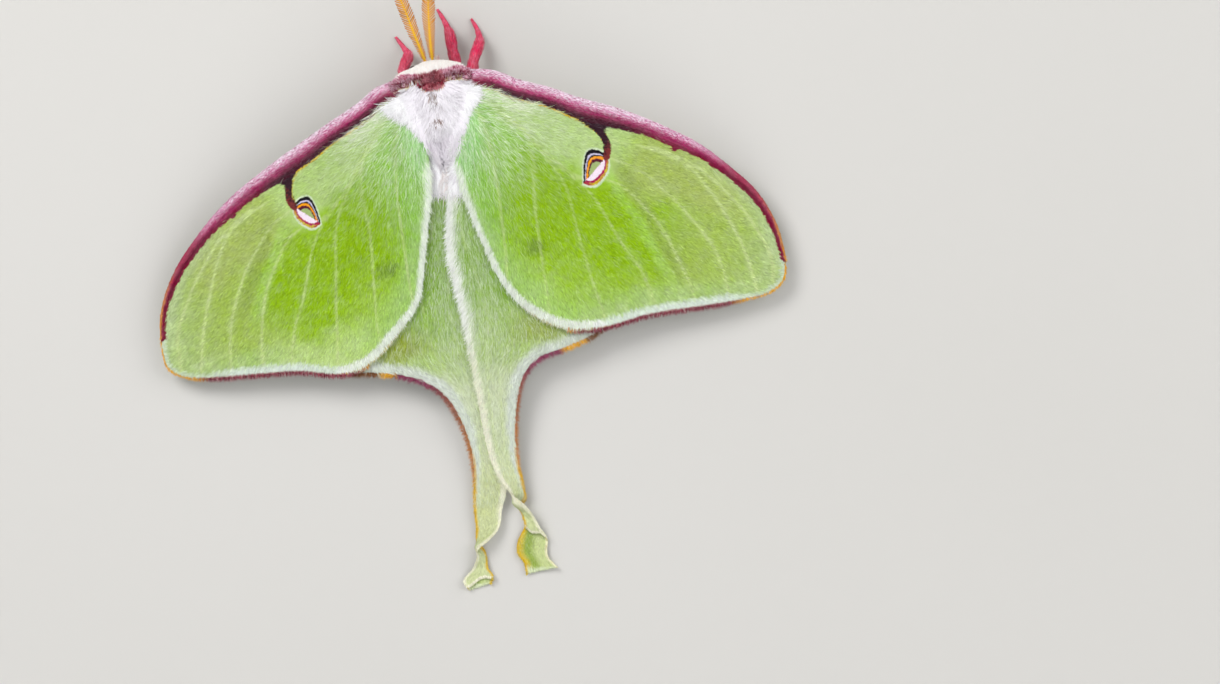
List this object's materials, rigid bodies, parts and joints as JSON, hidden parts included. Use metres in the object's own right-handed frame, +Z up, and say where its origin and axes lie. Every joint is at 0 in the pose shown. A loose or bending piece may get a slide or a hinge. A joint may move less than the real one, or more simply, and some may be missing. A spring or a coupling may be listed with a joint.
{
  "type": "luna moth",
  "caption": "Life-size still model of a luna moth at rest, pale green wings spread flat in a low tent, long twisted hindwing tails and feathered antennae, standing on its legs.",
  "frame": {"origin": "on the floor, under the middle of the bounding box", "axes": "+Z up, head towards -Y, the moth's own left wing towards +X"},
  "size_m": [0.0874, 0.084, 0.0113],
  "materials": {
    "fur": "dense soft white fur, with a dark maroon collar",
    "forewing": "matt lime green hair-scales, maroon front rib, translucent eyespot",
    "hindwing": "matt pale green hair-scales, white inner edge, maroon and yellow fringe",
    "leg": "magenta hair",
    "antenna": "yellow ochre horn, combed on both sides",
    "eye": "dark faceted gloss"
  },
  "bodies": {
    "root": {"head": "fur", "thorax": "fur", "abdomen": "fur", "eye_left": "eye", "eye_right": "eye", "antenna_left": "antenna", "antenna_right": "antenna", "forewing_left": "forewing", "forewing_right": "forewing", "hindwing_left": "hindwing", "hindwing_right": "hindwing", "foreleg_left": "leg", "foreleg_right": "leg", "midleg_left": "leg", "midleg_right": "leg", "hindleg_left": "leg", "hindleg_right": "leg"}
  },
  "joints": []
}
